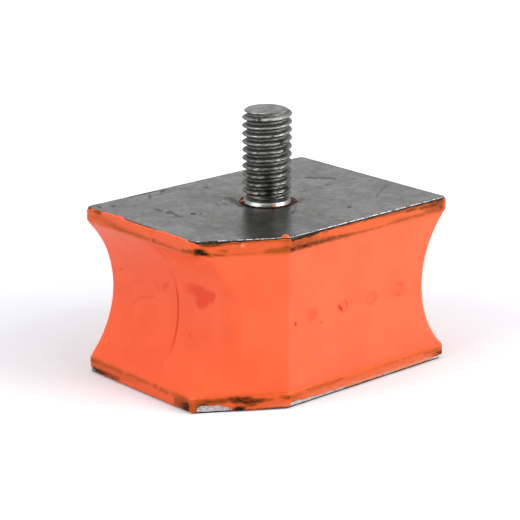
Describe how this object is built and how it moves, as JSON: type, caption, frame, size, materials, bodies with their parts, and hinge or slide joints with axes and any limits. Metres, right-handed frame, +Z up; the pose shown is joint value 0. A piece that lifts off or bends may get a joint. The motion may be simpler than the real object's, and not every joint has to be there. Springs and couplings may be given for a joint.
{
  "type": "rubber-metal mount",
  "caption": "Block-shaped rubber-metal mount: waisted orange elastomer between two steel plates with one cut corner, a threaded stud on top and a threaded socket below.",
  "frame": {"origin": "centre of the underside of the block", "axes": "+X along the long side of the block, away from the cut corner; +Z up along the stud, away from the top plate; the cut corner is at -X, -Y"},
  "size_m": [0.048, 0.035, 0.0433],
  "materials": {
    "orange_elastomer": "smooth moulded, satin, with dark stains along the lips",
    "plate_steel": "dark rolled sheet, satin, scratched and stained",
    "stud_steel": "rolled thread, bright crests and dark roots",
    "bush_steel": "turned, plain"
  },
  "bodies": {
    "root": {"top_plate": "plate_steel", "bottom_plate": "plate_steel", "stud": "stud_steel", "threaded_bush": "bush_steel", "rubber_body": "orange_elastomer"}
  },
  "joints": []
}
